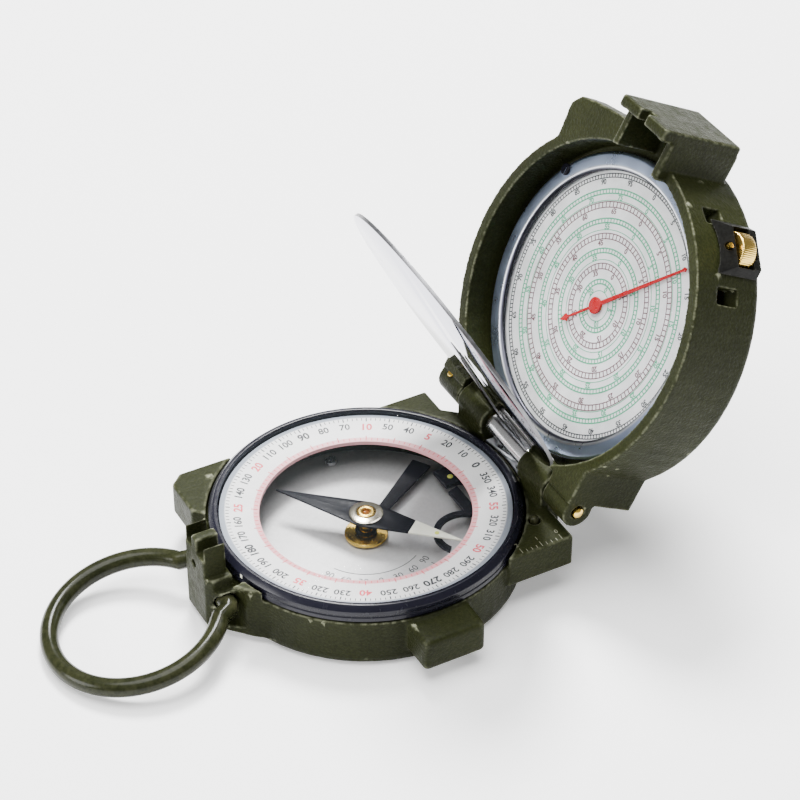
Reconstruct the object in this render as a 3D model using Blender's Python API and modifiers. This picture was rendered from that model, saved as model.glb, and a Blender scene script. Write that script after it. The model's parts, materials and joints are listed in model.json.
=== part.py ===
"""Folding sighting compass with a slotted mirror and a map measurer in its lid.

Metres, +Z up. The origin is on the dial's axis, in the plane of the flat underside.
+X points at the lid's hinge, +Y at the straight ruler edge.
Lid and mirror pieces are modelled in hinge frames: X away from the hinge pin, Y along it,
Z towards the side that faces the dial when the case is folded.
"""
import math

import bmesh
import bpy
from mathutils import Matrix, Vector

MM = 0.001
GAP = 0.3 * MM
HALF_TURN = math.pi

# Base casting
BODY_R = 28.3 * MM
BODY_TOP = 9.7 * MM
BOWL_R = 25.6 * MM
BOWL_FLOOR = 4.0 * MM
WIRE_GROOVE_R = 26.5 * MM
WIRE_GROOVE = (7.65 * MM, 9.35 * MM)
WING_TOP = 11.95 * MM
WING_BOTTOM = 5.45 * MM
EDGE_Y = 24.4 * MM

# Hinge
HINGE_X = 30.2 * MM
HINGE_Z = 15.35 * MM
PIN_R = 0.95 * MM
PIN_BORE_R = 1.3 * MM
PIN_END = 23.4 * MM
KNUCKLE_R = 3.1 * MM
KNUCKLE_Y = (6.6 * MM, 15.2 * MM)
LID_ANGLE = math.radians(61.6)
MIRROR_ANGLE = math.radians(116.5)

# Dial levels
FLOOR_PLATE = (4.3 * MM, 5.1 * MM)
FLANGE = (5.4 * MM, 6.2 * MM)
NEEDLE_Z = 10.0 * MM
BEZEL_R = 28.1 * MM
BEZEL_TOP = 13.1 * MM
BEZEL_SHELF = 10.9 * MM
SCALE_R = (19.06 * MM, 26.2 * MM)

# Lid
LID_R = 31.3 * MM
LID_BORE_R = 29.1 * MM
LID_CENTRE = 29.6 * MM
LID_RIM = 3.05 * MM
LID_BACK = -12.2 * MM
LID_SHELF = -3.7 * MM
LID_FLOOR = -10.2 * MM
MOVEMENT_R = 26.2 * MM
HINGE_BOX_Y = 22.8 * MM

# Map measurer, on one radius of the lid
WHEEL_DIR = math.radians(-39.5)
WHEEL_AT_R = 30.75 * MM
WHEEL_R = 3.35 * MM
IDLER_AT_R = 20.25 * MM
GEAR_MODULE = 0.5 * MM
PINION_TEETH = 8
IDLER_TEETH = 34
CENTRE_TEETH = 73
POINTER_DIR = math.radians(-42.5)

# Finger ring
RING_PIVOT = Vector((-30.5 * MM, 0.0, 7.0 * MM))
RING_WIRE_R = 1.7 * MM
RING_R = 15.25 * MM
RING_REACH = 15.2 * MM
RING_SLOPE = math.radians(9.9)

COLOURS = {
    "olive_paint": ((0.052, 0.058, 0.034), 0.45, 0.0),
    "black_paint": ((0.012, 0.012, 0.018), 0.30, 0.0),
    "dial_white": ((0.80, 0.80, 0.79), 0.45, 0.0),
    "clear_glass": ((0.95, 0.97, 0.97), 0.03, 0.0),
    "satin_grey": ((0.55, 0.56, 0.56), 0.40, 0.6),
    "brass": ((0.72, 0.50, 0.18), 0.28, 1.0),
    "steel": ((0.60, 0.61, 0.63), 0.30, 1.0),
    "mirror": ((0.90, 0.91, 0.92), 0.04, 1.0),
    "blue_anodised": ((0.30, 0.36, 0.45), 0.30, 1.0),
    "red_paint": ((0.55, 0.02, 0.02), 0.35, 0.0),
}


def clear_scene():
    for obj in list(bpy.data.objects):
        bpy.data.objects.remove(obj)


def new_collection(name):
    made = bpy.data.collections.new(name)
    bpy.context.scene.collection.children.link(made)
    return made


clear_scene()
PARTS = new_collection("sighting_compass")
CUTTERS = new_collection("cutters")


def make_material(name):
    colour, roughness, metallic = COLOURS[name]
    material = bpy.data.materials.new(name)
    material.use_nodes = True
    shader = material.node_tree.nodes["Principled BSDF"]
    shader.inputs["Base Color"].default_value = (*colour, 1.0)
    shader.inputs["Roughness"].default_value = roughness
    shader.inputs["Metallic"].default_value = metallic
    return material


MATERIALS = {name: make_material(name) for name in COLOURS}


def add_object(name, mesh, parent=None):
    obj = bpy.data.objects.new(name, mesh)
    PARTS.objects.link(obj)
    obj.parent = parent
    return obj


def finish(obj, material):
    """Give a node its material and smooth round sides."""
    obj.data.materials.clear()
    obj.data.materials.append(MATERIALS[material])
    if obj.data.polygons:
        obj.data.shade_smooth()
        obj.data.set_sharp_from_angle(angle=math.radians(30))
    return obj


def frame_empty(name, location, rotation=(0.0, 0.0, 0.0), parent=None):
    obj = add_object(name, None, parent)
    obj.location = location
    obj.rotation_euler = rotation
    return obj


def make_cutter(obj):
    """Move an object to the cutters, which the render and the build leave out."""
    PARTS.objects.unlink(obj)
    CUTTERS.objects.link(obj)
    obj.hide_render = True
    obj.display_type = "WIRE"
    return obj


def boolean(obj, other, operation):
    make_cutter(other)
    step = obj.modifiers.new(other.name, "BOOLEAN")
    step.operation = operation
    step.solver = "EXACT"
    step.object = other


def cut(obj, *others):
    for other in others:
        boolean(obj, other, "DIFFERENCE")


def join(obj, *others):
    for other in others:
        boolean(obj, other, "UNION")


def bevel(obj, width, segments=2, angle=40):
    step = obj.modifiers.new("Bevel", "BEVEL")
    step.width = width
    step.segments = segments
    step.limit_method = "ANGLE"
    step.angle_limit = math.radians(angle)


def box(name, low, high, parent=None):
    mesh = bpy.data.meshes.new(name)
    shape = bmesh.new()
    low, high = Vector(low), Vector(high)
    size = Matrix.Diagonal((*(high - low), 1.0))
    bmesh.ops.create_cube(shape, size=1.0, matrix=Matrix.Translation((low + high) / 2) @ size)
    shape.to_mesh(mesh)
    shape.free()
    return add_object(name, mesh, parent)


def rod(name, radius, start, end, parent=None, sides=24):
    """A cylinder between two points."""
    start, end = Vector(start), Vector(end)
    turn = (end - start).to_track_quat("Z", "Y").to_matrix().to_4x4()
    mesh = bpy.data.meshes.new(name)
    shape = bmesh.new()
    bmesh.ops.create_cone(shape, cap_ends=True, segments=sides, radius1=radius, radius2=radius,
                          depth=(end - start).length,
                          matrix=Matrix.Translation((start + end) / 2) @ turn)
    shape.to_mesh(mesh)
    shape.free()
    return add_object(name, mesh, parent)


def turned(name, profile, parent=None, at=(0.0, 0.0), sides=48):
    """Turn a profile of (radius, height) about the local Z axis through the point at.

    The profile runs down its outer side. One that starts off the axis is closed to a ring.
    """
    mesh = bpy.data.meshes.new(name)
    points = [(radius, 0.0, height) for radius, height in profile]
    edges = [(i, i + 1) for i in range(len(points) - 1)]
    if profile[0][0] > 0:
        edges.append((len(points) - 1, 0))
    mesh.from_pydata(points, edges, [])
    obj = add_object(name, mesh, parent)
    obj.location = (at[0], at[1], 0.0)
    step = obj.modifiers.new("Turn", "SCREW")
    step.steps = sides
    step.render_steps = sides
    step.use_merge_vertices = True
    step.merge_threshold = 0.00001
    return obj


def disc(name, radius, low, high, parent=None, at=(0.0, 0.0), sides=48):
    return turned(name, [(0.0, high), (radius, high), (radius, low), (0.0, low)], parent, at, sides)


def ring(name, inner, outer, low, high, parent=None, at=(0.0, 0.0), sides=48):
    profile = [(inner, high), (outer, high), (outer, low), (inner, low)]
    return turned(name, profile, parent, at, sides)


def plate(name, outline, low, high, parent=None):
    """A flat outline in XY, filled between two heights, as a closed mesh."""
    curve = bpy.data.curves.new(name, "CURVE")
    curve.dimensions = "2D"
    curve.fill_mode = "BOTH"
    curve.extrude = (high - low) / 2
    spline = curve.splines.new("POLY")
    spline.points.add(len(outline) - 1)
    for point, (x, y) in zip(spline.points, outline):
        point.co = (x, y, 0.0, 1.0)
    spline.use_cyclic_u = True
    return solid_from_curve(name, curve, (0.0, 0.0, (low + high) / 2), parent)


def solid_from_curve(name, curve, location, parent):
    """Turn a curve into a closed mesh, with its caps welded to its sides."""
    guide = bpy.data.objects.new(name + "_curve", curve)
    PARTS.objects.link(guide)
    bpy.context.view_layer.update()
    evaluated = guide.evaluated_get(bpy.context.evaluated_depsgraph_get())
    mesh = bpy.data.meshes.new_from_object(evaluated)
    bpy.data.objects.remove(guide)
    shape = bmesh.new()
    shape.from_mesh(mesh)
    bmesh.ops.remove_doubles(shape, verts=shape.verts, dist=0.000001)
    bmesh.ops.recalc_face_normals(shape, faces=shape.faces)
    shape.to_mesh(mesh)
    shape.free()
    obj = add_object(name, mesh, parent)
    obj.location = location
    return obj


def wire(name, points, radius, parent=None):
    """A round wire along a list of points."""
    curve = bpy.data.curves.new(name, "CURVE")
    curve.dimensions = "3D"
    curve.bevel_depth = radius
    curve.bevel_resolution = 2
    curve.use_fill_caps = True
    spline = curve.splines.new("POLY")
    spline.points.add(len(points) - 1)
    for point, position in zip(spline.points, points):
        point.co = (*position, 1.0)
    return solid_from_curve(name, curve, (0.0, 0.0, 0.0), parent)


def polar(radius, angle, centre=(0.0, 0.0)):
    return (centre[0] + radius * math.cos(angle), centre[1] + radius * math.sin(angle))


def arc(radius, start, end, steps, centre=(0.0, 0.0)):
    """Points along an arc, angles in degrees."""
    angles = [math.radians(start + (end - start) * i / steps) for i in range(steps + 1)]
    return [polar(radius, angle, centre) for angle in angles]


def mirrored_box(name, low, high, side, parent=None):
    """A box given for +Y, put on the chosen side of the XZ plane."""
    y_low, y_high = sorted((side * low[1], side * high[1]))
    return box(name, (low[0], y_low, low[2]), (high[0], y_high, high[2]), parent)


# --- Base -----------------------------------------------------------------------------------

def wing_outline():
    """Plan of the plate under the hinge and the ruler edge, with its two unequal ends."""
    left_x, cut_x, right_x, block_x = -27.8 * MM, -25.4 * MM, 25.3 * MM, 28.5 * MM
    return [(left_x, 14.0 * MM), (-24.0 * MM, 10.0 * MM), (0.0, 0.0), (14.0 * MM, -22.8 * MM),
            (15.6 * MM, -EDGE_Y), (block_x, -EDGE_Y), (block_x, 15.4 * MM),
            (right_x, 18.3 * MM), (right_x, EDGE_Y), (cut_x, EDGE_Y), (left_x, 22.2 * MM)]


def boss_outline():
    """Plan of the tapered end block that carries the rear sight and the finger ring."""
    end_x, end_y = -33.6 * MM, 3.8 * MM
    root_x, root_y = -27.6 * MM, 10.5 * MM
    return [(-24.0 * MM, root_y + 3 * MM), (root_x, root_y), (end_x, end_y), (end_x, -end_y),
            (root_x, -root_y), (-24.0 * MM, -root_y - 3 * MM), (-20.0 * MM, 0.0)]


def bowl_cutter():
    """The room for dial, snap wire and bezel inside the base casting."""
    open_r, open_top = BODY_R + GAP, 13.45 * MM
    low, high = WIRE_GROOVE
    profile = [(0.0, open_top), (open_r, open_top), (open_r, BODY_TOP), (BOWL_R, BODY_TOP),
               (BOWL_R, high), (WIRE_GROOVE_R, high), (WIRE_GROOVE_R, low), (BOWL_R, low),
               (BOWL_R, BOWL_FLOOR), (0.0, BOWL_FLOOR)]
    return turned("bowl_cut", profile, sides=60)


def knuckle(side):
    """One of the two base knuckles, a round barrel on a neck from the wing."""
    low, high = side * KNUCKLE_Y[0], side * KNUCKLE_Y[1]
    axis = [Vector((HINGE_X, y, HINGE_Z)) for y in (low, high)]
    barrel = rod(f"knuckle_{side}", KNUCKLE_R, axis[0], axis[1])
    neck = mirrored_box(f"knuckle_neck_{side}", (27.2 * MM, KNUCKLE_Y[0], WING_BOTTOM),
                        (31.0 * MM, KNUCKLE_Y[1], HINGE_Z - 1 * MM), side)
    return barrel, neck


def rear_sight_cutters():
    """Two square slots along X through the top of the rear sight."""
    for side in (1, -1):
        centre = side * 2.3 * MM
        yield box(f"sight_slot_{side}", (-35 * MM, centre - 1.3 * MM, 15.7 * MM),
                  (-28 * MM, centre + 1.3 * MM, 20 * MM))


def ring_relief(side):
    """Half round hollow outside the end block's face, where the bend of the ring swings."""
    hollow = rod(f"ring_relief_{side}", 4.5 * MM, RING_PIVOT + Vector((0, side * 6.2 * MM, 0)),
                 RING_PIVOT + Vector((0, side * 12 * MM, 0)))
    cut(hollow, box(f"relief_limit_{side}", (-28.45 * MM, -14 * MM, 0.0), (-24 * MM, 14 * MM, 14 * MM)))
    return hollow


def build_base_body():
    edge = 1.5 * MM
    rounding = [(BODY_R - edge + edge * math.cos(a), edge - edge * math.sin(a))
                for a in (0.0, math.pi / 6, math.pi / 3, math.pi / 2)]
    body = turned("base_body", [(0.0, BODY_TOP), (BODY_R, BODY_TOP), *rounding, (0.0, 0.0)], sides=60)
    wings = plate("wings", wing_outline(), WING_BOTTOM, WING_TOP)
    boss = plate("boss", boss_outline(), 1.2 * MM, WING_TOP)
    sight = box("rear_sight", (-33.6 * MM, -3.8 * MM, 8 * MM), (-29.2 * MM, 3.8 * MM, 18.6 * MM))
    bevel(sight, 0.35 * MM)
    lug = box("near_lug", (-6.5 * MM, -34 * MM, 2.7 * MM), (5.5 * MM, -26.5 * MM, 9.3 * MM))
    bevel(lug, 0.9 * MM)
    block = box("hinge_block", (27.2 * MM, -15.1 * MM, 5.6 * MM), (30.9 * MM, 15.1 * MM, 11.7 * MM))
    join(body, wings, boss, sight, lug, block, *knuckle(1), *knuckle(-1))
    pin_bore = rod("pin_bore", PIN_BORE_R, (HINGE_X, -17 * MM, HINGE_Z), (HINGE_X, 17 * MM, HINGE_Z))
    lock_bore = rod("lock_bore", 1.1 * MM, (24.6 * MM, -17.4 * MM, 5 * MM), (24.6 * MM, -17.4 * MM, 13 * MM))
    ring_bore = rod("ring_bore", 2.0 * MM, RING_PIVOT - Vector((0, 12 * MM, 0)),
                    RING_PIVOT + Vector((0, 12 * MM, 0)))
    reliefs = [ring_relief(side) for side in (1, -1)]
    shoulders = [mirrored_box(f"boss_shoulder_{side}", (-37 * MM, 5.1 * MM, 9.3 * MM),
                              (-28.3 * MM, 7.6 * MM, 13 * MM), side) for side in (1, -1)]
    end_hole = rod("end_hole", 0.8 * MM, (-34 * MM, 0.5 * MM, 12.4 * MM), (-31 * MM, 0.5 * MM, 12.4 * MM), sides=16)
    leaf_seat = box("leaf_seat", (26 * MM, -6.5 * MM, 11.25 * MM), (33 * MM, 6.5 * MM, 20 * MM))
    frame_rest = box("frame_rest", (-28.7 * MM, -7.3 * MM, 9.35 * MM), (-27 * MM, 7.3 * MM, 13 * MM))
    cut(body, bowl_cutter(), leaf_seat, pin_bore, lock_bore, ring_bore, *reliefs, *shoulders, frame_rest,
        end_hole, *rear_sight_cutters())
    for index, spot in enumerate(LEAF_SCREWS):
        hole = rod(f"leaf_hole_{index}", 0.65 * MM, (*spot, 9.4 * MM), (*spot, 12 * MM), sides=16)
        cut(body, hole)
    return finish(body, "olive_paint")


LEAF_SCREWS = [(29.6 * MM, -3.4 * MM), (29.6 * MM, 3.4 * MM)]
PLATE_SCREWS = [polar(21.6 * MM, math.radians(angle)) for angle in (80.0, 200.0, 320.0)]


def build_dial_plate():
    low, high = FLOOR_PLATE
    finish(disc("dial_plate", 24.6 * MM, low, high), "satin_grey")
    for index, spot in enumerate(PLATE_SCREWS):
        screw = disc(f"dial_plate_screw_{index + 1}", 1.1 * MM, high + GAP, high + 0.9 * MM, at=spot, sides=20)
        finish(screw, "steel")


def build_pivot():
    """Brass flange with the post that carries the needle's point."""
    low, high = FLANGE
    flange = [(0.0, 8.6 * MM), (1.0 * MM, 8.6 * MM), (1.0 * MM, high), (3.93 * MM, high),
              (3.93 * MM, low), (0.0, low)]
    finish(turned("pivot_flange", flange, sides=32), "brass")
    tip = [(0.0, 9.9 * MM), (0.45 * MM, 9.3 * MM), (0.45 * MM, 8.9 * MM), (0.0, 8.9 * MM)]
    finish(turned("pivot_tip", tip, sides=16), "steel")


def build_index_block():
    """Black sighting-index block on a post beside the bowl's wall."""
    low, high = 7.4 * MM, 8.25 * MM
    outline = [(17.6 * MM, 2.1 * MM), (23.2 * MM, 2.1 * MM), (22.4 * MM, 6.9 * MM), (17.5 * MM, 6.9 * MM)]
    block = plate("index_block", outline, low, high)
    join(block, rod("index_post", 0.8 * MM, (22.1 * MM, 4.5 * MM, FLOOR_PLATE[1] + GAP),
                    (22.1 * MM, 4.5 * MM, low + 0.3 * MM), sides=16))
    finish(block, "black_paint")


def build_friction_leaf():
    outer_x, half_y = 30.0 * MM, 6.2 * MM
    inner_r = 28.75 * MM
    swing = math.degrees(math.asin(half_y / inner_r))
    outline = [(outer_x + 0.7 * MM, half_y), *arc(inner_r, swing, -swing, 8), (outer_x + 0.7 * MM, -half_y)]
    leaf = plate("friction_leaf", outline, 11.6 * MM, 12.1 * MM)
    for index, spot in enumerate(LEAF_SCREWS):
        cut(leaf, rod(f"leaf_bore_{index}", 0.62 * MM, (*spot, 11 * MM), (*spot, 13 * MM), sides=16))
    finish(leaf, "steel")
    for index, spot in enumerate(LEAF_SCREWS):
        shank = rod(f"leaf_rivet_{index + 1}", 0.32 * MM, (*spot, 9.8 * MM), (*spot, 12.5 * MM), sides=12)
        join(shank, rod(f"leaf_rivet_head_{index}", 0.6 * MM, (*spot, 12.4 * MM), (*spot, 12.75 * MM), sides=12))
        finish(shank, "steel")


def build_hinge_pin():
    finish(rod("hinge_pin", PIN_R, (HINGE_X, -PIN_END, HINGE_Z), (HINGE_X, PIN_END, HINGE_Z)), "brass")


def build_snap_wire():
    """Spring wire that holds the bezel down, three quarters of a circle."""
    sweep = [math.radians(30 + 300 * i / 28) for i in range(29)]
    points = [(*polar(25.75 * MM, angle), 8.5 * MM) for angle in sweep]
    finish(wire("bezel_snap_wire", points, 0.45 * MM), "steel")


# --- Bezel and scale ---------------------------------------------------------------------------

def build_bezel():
    empty = frame_empty("bezel_axis", (0.0, 0.0, 0.0))
    rim = [(26.5 * MM, BEZEL_TOP), (27.2 * MM, BEZEL_TOP), (BEZEL_R, 12.2 * MM), (BEZEL_R, 10.0 * MM),
           (25.2 * MM, 10.0 * MM), (25.2 * MM, 9.3 * MM), (24.85 * MM, 9.3 * MM), (24.85 * MM, 7.75 * MM),
           (25.2 * MM, 7.75 * MM), (25.2 * MM, 7.6 * MM), (23.9 * MM, 7.6 * MM), (23.9 * MM, 10.2 * MM),
           (24.6 * MM, BEZEL_SHELF), (26.5 * MM, BEZEL_SHELF)]
    finish(turned("bezel_ring", rim, empty), "black_paint")
    inner, outer = SCALE_R
    scale = [(inner, 11.5 * MM), (outer, 12.3 * MM), (outer, BEZEL_SHELF + GAP), (24.4 * MM, BEZEL_SHELF + GAP),
             (inner, 10.7 * MM)]
    finish(turned("scale_ring", scale, empty), "dial_white")
    finish(disc("dial_crystal", outer, 12.6 * MM, 13.0 * MM, empty), "clear_glass")


# --- Needle and clinometer ------------------------------------------------------------------------

def build_needle():
    empty = frame_empty("needle_axis", (0.0, 0.0, 0.0), (0.0, 0.0, math.radians(-51.0)))
    tip_r, tail_r, half_width = 18.7 * MM, 17.7 * MM, 3.25 * MM
    blade = [(tip_r, 0.0), (1.0 * MM, half_width), (-1.0 * MM, half_width), (-tail_r, 0.0),
             (-1.0 * MM, -half_width), (1.0 * MM, -half_width)]
    needle = plate("needle_blade", blade, NEEDLE_Z, NEEDLE_Z + 0.35 * MM, empty)
    cut(needle, rod("needle_bore", 2.3 * MM, (0, 0, 9 * MM), (0, 0, 12 * MM), empty))
    finish(needle, "black_paint")
    cap = [(0.9 * MM, 11.0 * MM), (1.9 * MM, 11.0 * MM), (2.9 * MM, 10.65 * MM), (2.0 * MM, 10.65 * MM),
           (2.0 * MM, 9.4 * MM), (1.3 * MM, 9.2 * MM), (0.9 * MM, 9.4 * MM)]
    finish(turned("needle_cap", cap, empty, sides=32), "brass")
    jewel = [(0.0, 10.95 * MM), (0.6 * MM, 10.7 * MM), (0.6 * MM, 10.2 * MM), (0.0, 10.2 * MM)]
    finish(turned("needle_jewel", jewel, empty, sides=16), "red_paint")


def build_clinometer():
    """Weighted arm that hangs free about the dial's axis when the case stands on edge."""
    empty = frame_empty("clinometer_axis", (0.0, 0.0, 0.0), (0.0, 0.0, math.radians(33.0)))
    low, high, reach = 6.55 * MM, 7.05 * MM, 21.0 * MM
    spread = math.degrees(1.9 * MM / reach)
    arm = [(0.0, -0.6 * MM), *arc(reach, -spread, spread, 3), (0.0, 0.6 * MM)]
    pendulum = plate("clinometer_pendulum", arm, low, high, empty)
    join(pendulum, rod("clinometer_hub", 2.0 * MM, (0, 0, low), (0, 0, high), empty))
    cut(pendulum, rod("clinometer_bore", 1.35 * MM, (0, 0, 6 * MM), (0, 0, 8 * MM), empty))
    finish(pendulum, "black_paint")


def build_needle_arrest():
    """Lever with an open loop that lifts the needle, and the pin that the lid presses."""
    pivot = Vector((18.3 * MM, -2.0 * MM, 7.8 * MM))
    empty = frame_empty("lever_axis", pivot)
    low, high = -0.35 * MM, 0.35 * MM
    loop = [(17.1, -5.5), (13.8, -4.7), (10.9, -6.1), (9.0, -10.6), (9.7, -13.6)]
    inner = [(10.9, -13.3), (10.3, -10.7), (11.9, -7.0), (14.1, -5.9), (17.1, -6.8)]
    root = [(19.4, -6.8), (19.4, 1.3), (17.2, 0.6)]
    outline = [(x * MM - pivot.x, y * MM - pivot.y) for x, y in loop + inner + root]
    finish(plate("needle_lever", outline, low, high, empty), "black_paint")
    pin_empty = frame_empty("lock_pin_axis", (24.6 * MM, -17.4 * MM, 0.0))
    pin = [(0.0, 12.9 * MM), (0.55 * MM, 12.75 * MM), (0.8 * MM, 12.4 * MM), (0.8 * MM, 6.6 * MM), (0.0, 6.6 * MM)]
    finish(turned("needle_lock_pin", pin, pin_empty, sides=20), "steel")


# --- Finger ring -------------------------------------------------------------------------------------

def build_finger_ring():
    """Round wire ring whose two bent ends turn in the end block."""
    empty = frame_empty("ring_axis", RING_PIVOT, (0.0, -RING_SLOPE, 0.0))
    root_y, end_y = 8.4 * MM, 5.0 * MM
    opening = math.asin(root_y / RING_R)
    sweep = [opening + (2 * math.pi - 2 * opening) * i / 32 for i in range(33)]
    loop = [(-RING_REACH + RING_R * math.cos(a), RING_R * math.sin(a), 0.0) for a in sweep]
    corner = [(-0.5 * MM, root_y - 0.7 * MM, 0.0), (0.0, root_y - 1.7 * MM, 0.0), (0.0, end_y, 0.0)]
    far = [(x, -y, z) for x, y, z in corner]
    points = [*reversed(corner), *loop, *far]
    finish(wire("finger_ring", points, RING_WIRE_R, empty), "olive_paint")


# --- Mirror ---------------------------------------------------------------------------------------------

def build_mirror():
    empty = frame_empty("mirror_hinge", (HINGE_X, 0.0, HINGE_Z), (0.0, -MIRROR_ANGLE, 0.0))
    low, high, centre, radius = -1.25 * MM, -0.55 * MM, 30.3 * MM, 27.6 * MM
    tab_y = 6.0 * MM
    plate_disc = disc("mirror_plate", radius, low, high, empty, (centre, 0.0), sides=60)
    tab = box("mirror_tab", (2.35 * MM, -tab_y, low), (8 * MM, tab_y, high), empty)
    slot = box("mirror_slot", (6.5 * MM, -1.6 * MM, -3 * MM), (28 * MM, 1.6 * MM, 3 * MM), empty)
    slot_end = rod("mirror_slot_end", 1.6 * MM, (28 * MM, 0, -3 * MM), (28 * MM, 0, 3 * MM), empty)
    join(plate_disc, tab)
    cut(plate_disc, slot, slot_end)
    finish(plate_disc, "mirror")
    barrel = rod("mirror_barrel", 2.0 * MM, (0, -6.25 * MM, 0), (0, 6.25 * MM, 0), empty)
    cut(barrel, rod("barrel_bore", PIN_BORE_R, (0, -8 * MM, 0), (0, 8 * MM, 0), empty))
    finish(barrel, "steel")


# --- Lid -------------------------------------------------------------------------------------------------

def lid_frame():
    return frame_empty("lid_hinge", (HINGE_X, 0.0, HINGE_Z), (0.0, -LID_ANGLE, 0.0))


def lid_polar(radius, angle):
    return polar(radius, angle, (LID_CENTRE, 0.0))


def lid_bowl_cutter(lid):
    """Front hollow down to the shelf, then the narrower room for the gears."""
    profile = [(0.0, 6 * MM), (LID_BORE_R, 6 * MM), (LID_BORE_R, LID_SHELF), (MOVEMENT_R, LID_SHELF),
               (MOVEMENT_R, LID_FLOOR), (0.0, LID_FLOOR)]
    return turned("lid_bowl_cut", profile, lid, (LID_CENTRE, 0.0), sides=60)


def radial_box(name, radii, half_width, heights, angle, lid):
    """A box along one radius of the lid."""
    low = (radii[0], -half_width, heights[0])
    high = (radii[1], half_width, heights[1])
    obj = box(name, low, high, lid)
    obj.location = (LID_CENTRE, 0.0, 0.0)
    obj.rotation_euler = (0.0, 0.0, angle)
    return obj


def hinge_side(lid):
    """Square hinge side of the lid, with a round ear at each end of the pin."""
    slab = box("lid_hinge_box", (1.5 * MM, -HINGE_BOX_Y, -11.5 * MM), (12 * MM, HINGE_BOX_Y, LID_RIM), lid)
    ear_y = HINGE_BOX_Y - 0.05 * MM
    ears = rod("lid_ears", 3.0 * MM, (0, -ear_y, 0), (0, ear_y, 0), lid)
    notch = box("lid_notch", (-5 * MM, -15.5 * MM, -3.45 * MM), (3.45 * MM, 15.5 * MM, 5 * MM), lid)
    back = box("lid_back_cut", (-5 * MM, -30 * MM, -14 * MM), (1.55 * MM, 30 * MM, -3.4 * MM), lid)
    bore = rod("lid_pin_bore", PIN_BORE_R, (0, -25 * MM, 0), (0, 25 * MM, 0), lid)
    return (slab, ears), (notch, back, bore)


def free_end(lid):
    """Front sight block, whose frame folds over the rear sight."""
    block = box("sight_block", (56 * MM, -7 * MM, -10 * MM), (65.6 * MM, 7 * MM, 5.7 * MM), lid)
    bevel(block, 0.4 * MM)
    bar = box("sight_bar", (64.9 * MM, -6.9 * MM, -9.8 * MM), (67.2 * MM, 6.9 * MM, 8.4 * MM), lid)
    bevel(bar, 0.4 * MM)
    recess = box("sight_recess", (57.6 * MM, -5.4 * MM, -3.8 * MM), (65.1 * MM, 5.4 * MM, 12 * MM), lid)
    notch = box("sight_notch", (64 * MM, -1 * MM, 6.2 * MM), (68 * MM, 1 * MM, 12 * MM), lid)
    return (block, bar), (recess, notch)


def far_wing(lid):
    outline = [(44 * MM, 20 * MM), (49.3 * MM, 23 * MM), (57.3 * MM, 23.9 * MM), (59.5 * MM, 22 * MM),
               (60.5 * MM, 18.3 * MM), (61.8 * MM, 10.3 * MM), (61.8 * MM, 0.0), (52 * MM, 0.0)]
    return plate("lid_wing", outline, 0.0, LID_RIM - 0.05 * MM, lid)


def build_lid_body(lid):
    edge = 1.2 * MM
    rounding = [(LID_R - edge + edge * math.cos(a), LID_BACK + edge - edge * math.sin(a))
                for a in (0.0, math.pi / 6, math.pi / 3, math.pi / 2)]
    profile = [(0.0, LID_RIM), (LID_R, LID_RIM), *rounding, (0.0, LID_BACK)]
    body = turned("lid_body", profile, lid, (LID_CENTRE, 0.0), sides=60)
    hinge_solids, hinge_cuts = hinge_side(lid)
    end_solids, end_cuts = free_end(lid)
    join(body, *hinge_solids, *end_solids, far_wing(lid))
    idler_spot = lid_polar(IDLER_AT_R, WHEEL_DIR)
    pocket = disc("idler_pocket", 9.3 * MM, LID_FLOOR + 0.1 * MM, -5.2 * MM, lid, idler_spot)
    wheel_slot = radial_box("wheel_slot", (24 * MM, 36 * MM), 4.3 * MM, (-10.35 * MM, -5.25 * MM), WHEEL_DIR, lid)
    windows = [radial_box("wall_window_1", (27 * MM, 35 * MM), 1.5 * MM, (-4.9 * MM, -0.9 * MM),
                          math.radians(-28.7), lid),
               radial_box("wall_window_2", (27 * MM, 35 * MM), 1.5 * MM, (-6.6 * MM, -1.9 * MM),
                          math.radians(-55.3), lid)]
    cut(body, lid_bowl_cutter(lid), *hinge_cuts, *end_cuts, pocket, wheel_slot, *windows)
    return finish(body, "olive_paint")


def build_lid_dial(lid):
    """Dial side of the lid: movement plate, printed dial, crystal and the ring that holds them."""
    at = (LID_CENTRE, 0.0)
    movement = ring("movement_plate", 1.5 * MM, 25.9 * MM, -4.6 * MM, -3.9 * MM, lid, at)
    finish(movement, "brass")
    finish(ring("lid_dial", 1.2 * MM, 25.6 * MM, -3.6 * MM, -3.1 * MM, lid, at), "dial_white")
    finish(disc("lid_crystal", 24.0 * MM, -2.05 * MM, -1.65 * MM, lid, at), "clear_glass")
    profile = [(24.3 * MM, -1.75 * MM), (24.7 * MM, -1.5 * MM), (27.2 * MM, -1.5 * MM), (27.7 * MM, -1.9 * MM),
               (27.7 * MM, -3.4 * MM), (25.9 * MM, -3.4 * MM), (25.9 * MM, -2.6 * MM), (24.3 * MM, -2.6 * MM)]
    rim = turned("lid_ring", profile, lid, at)
    spot = lid_polar(26.85 * MM, math.radians(54.5))
    cut(rim, rod("ring_screw_bore", 1.4 * MM, (*spot, -5 * MM), (*spot, 1 * MM), lid))
    finish(rim, "blue_anodised")
    screw = rod("lid_ring_screw", 1.1 * MM, (*spot, -3.3 * MM), (*spot, -1.2 * MM), lid)
    cut(screw, box("ring_screw_slot", (spot[0] - 2 * MM, spot[1] - 0.18 * MM, -1.6 * MM),
                   (spot[0] + 2 * MM, spot[1] + 0.18 * MM, 0), lid))
    finish(screw, "steel")


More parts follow.
